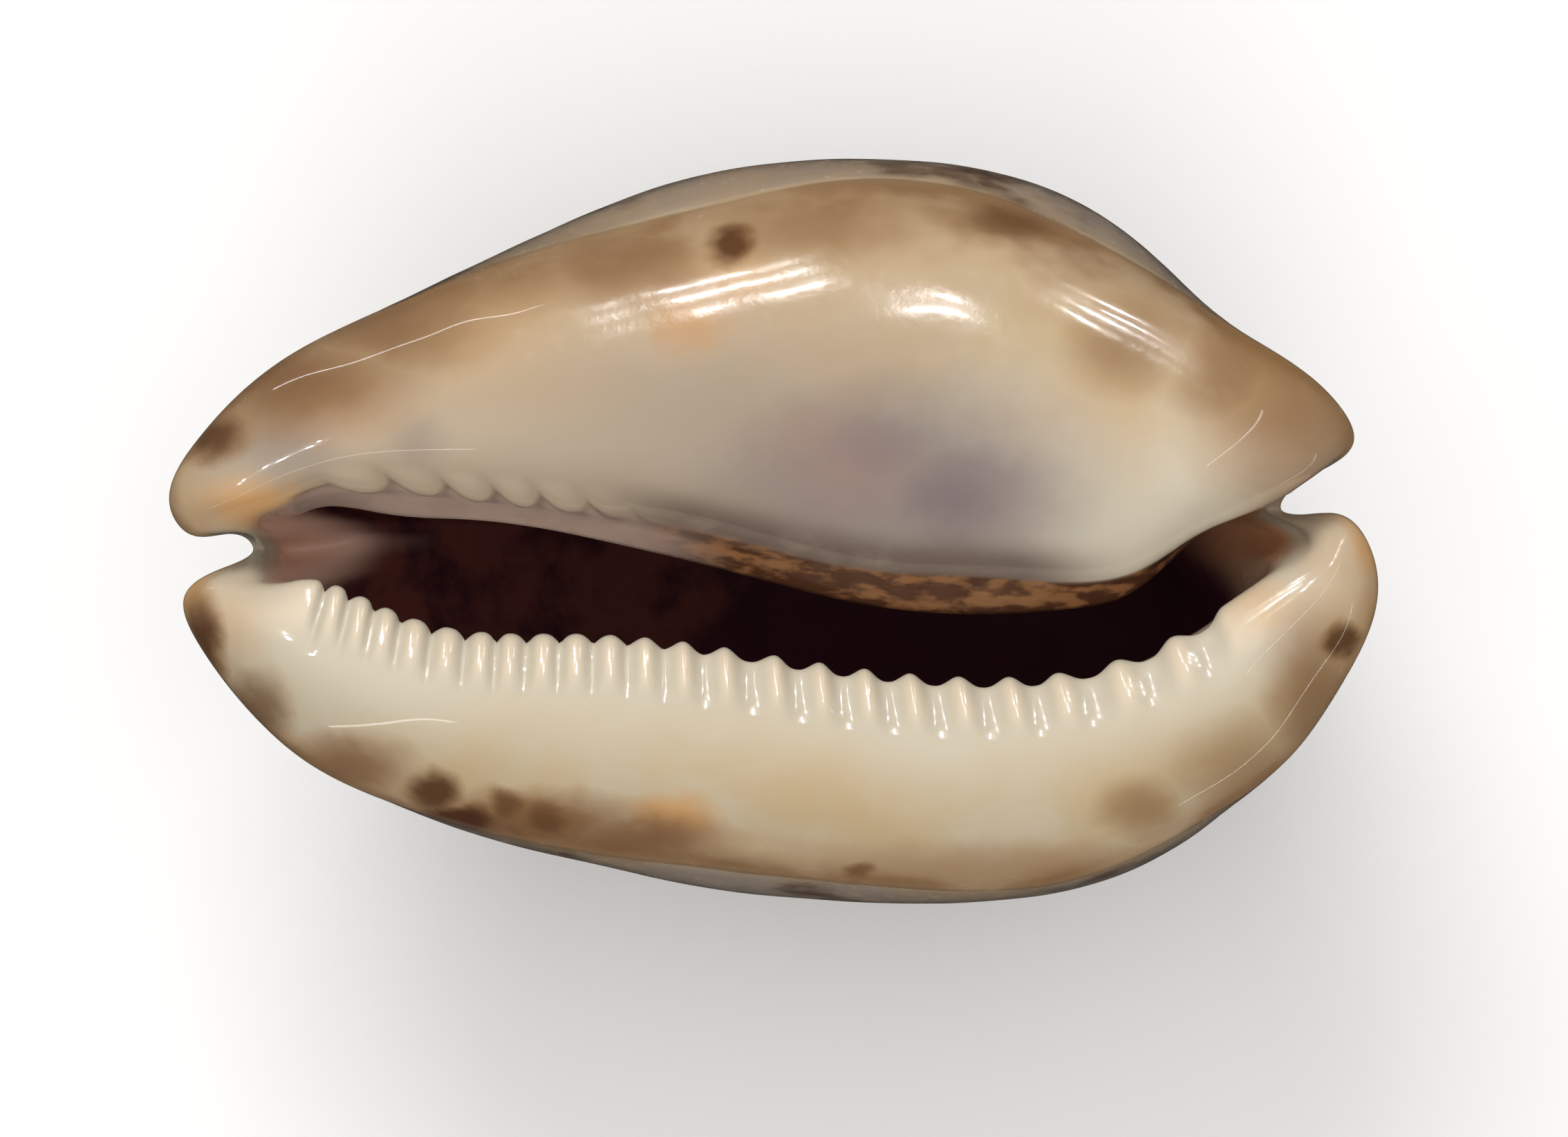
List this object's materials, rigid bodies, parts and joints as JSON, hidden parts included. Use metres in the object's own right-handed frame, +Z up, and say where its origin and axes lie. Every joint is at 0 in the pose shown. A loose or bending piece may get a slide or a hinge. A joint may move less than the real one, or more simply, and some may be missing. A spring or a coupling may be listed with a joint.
{
  "type": "cowry shell",
  "caption": "Glossy hollow sea shell lying on its domed back, with a long toothed slit of a mouth along its flat base and a notch at each end.",
  "frame": {"origin": "the middle of the small flat spot on the back that the shell rests on", "axes": "+Z up, out of the mouth; +X along the shell towards its broad rear end; +Y towards the columella side"},
  "size_m": [0.0699, 0.0438, 0.0369],
  "materials": {
    "enamel": "polished natural enamel"
  },
  "bodies": {
    "root": {"shell": "enamel"}
  },
  "joints": []
}
